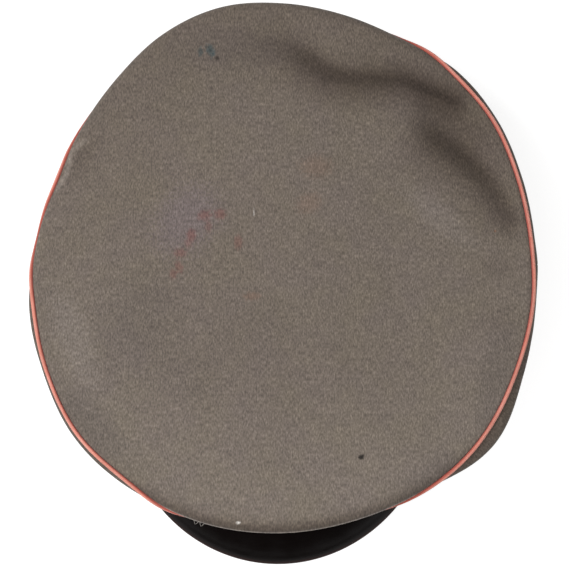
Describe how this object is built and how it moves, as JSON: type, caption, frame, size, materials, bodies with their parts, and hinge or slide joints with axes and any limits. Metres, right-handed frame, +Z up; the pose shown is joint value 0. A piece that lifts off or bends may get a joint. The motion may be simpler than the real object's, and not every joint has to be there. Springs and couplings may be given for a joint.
{
  "type": "visor cap",
  "caption": "Peaked cap with a wide oval cloth crown, coral piping in its rim seam, an upright cloth band and a hard black visor, resting on a flat surface.",
  "frame": {"origin": "on the surface that the cap rests on, under the middle of its box", "axes": "+X to the wearer's left, +Y to the back of the cap, +Z up; the visor faces -Y"},
  "size_m": [0.2684, 0.3106, 0.1285],
  "materials": {
    "crown_cloth": "grey-brown wool cloth with a fine flecked weave, slightly stained and worn",
    "piping_cloth": "coral wool cloth folded over a cord",
    "band_cloth": "the same grey-brown wool cloth, over a stiff core",
    "visor_lacquer": "smooth glossy black lacquer with a worn reddish edge"
  },
  "bodies": {
    "root": {"crown_top": "crown_cloth", "crown_piping": "piping_cloth", "crown_side_front": "crown_cloth", "crown_side_back": "crown_cloth", "band": "band_cloth", "visor": "visor_lacquer"}
  },
  "joints": []
}
